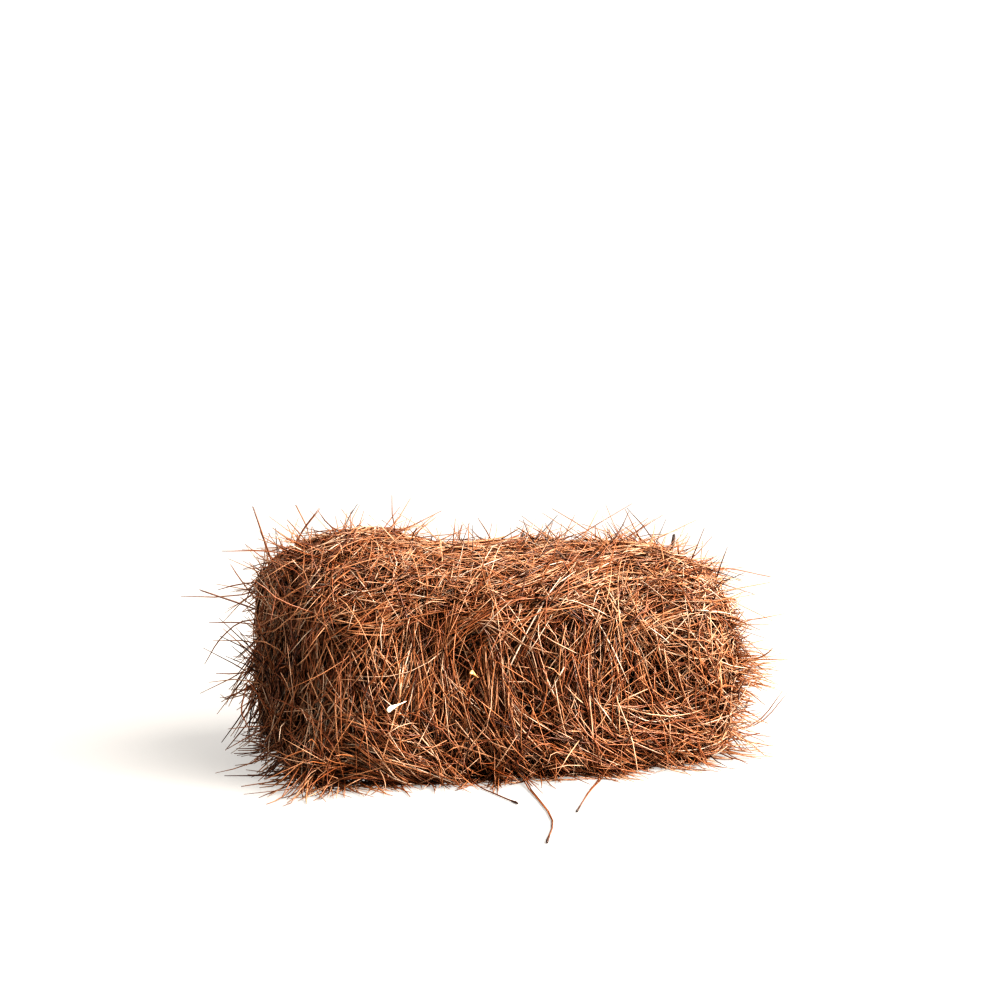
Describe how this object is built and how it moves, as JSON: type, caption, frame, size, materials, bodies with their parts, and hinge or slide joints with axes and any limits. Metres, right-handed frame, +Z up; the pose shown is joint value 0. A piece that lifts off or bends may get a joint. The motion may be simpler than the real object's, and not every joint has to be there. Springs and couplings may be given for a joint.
{
  "type": "pine straw bale",
  "caption": "Rectangular bale of dry pine needles pressed into a soft lumpy block, with locks lying over its faces, bristling cut ends and loose needles; rests on a flat base.",
  "frame": {"origin": "middle of the flat face that the bale rests on", "axes": "+X along the bale's length, -Y out of its front, +Z up"},
  "size_m": [0.816, 0.6396, 0.345],
  "materials": {
    "straw": "dry reddish-brown pine needles, waxy sheen, dark gaps between locks",
    "needle": "single dry pine needles, reddish brown, grey-brown sheath at the root",
    "twig": "dark rough twig bark, paler broken end",
    "pale_wood": "freshly split pale wood",
    "bark": "dry yellow-tan bark flake"
  },
  "bodies": {
    "root": {"straw_block": "straw", "loose_left_top": "needle", "loose_left_crown": "needle", "loose_left_high": "needle", "loose_left_mid": "needle", "loose_left_low": "needle", "loose_top_left": "needle", "loose_top_middle": "needle", "loose_right_high": "needle", "loose_right_curl": "needle", "loose_right_low": "needle", "loose_foot_left": "needle", "loose_floor_front": "needle", "loose_floor_side": "needle", "loose_floor_short": "needle", "twig_stub": "twig", "twig_stub_small": "twig", "wood_chip": "pale_wood", "bark_flake": "bark"}
  },
  "joints": []
}
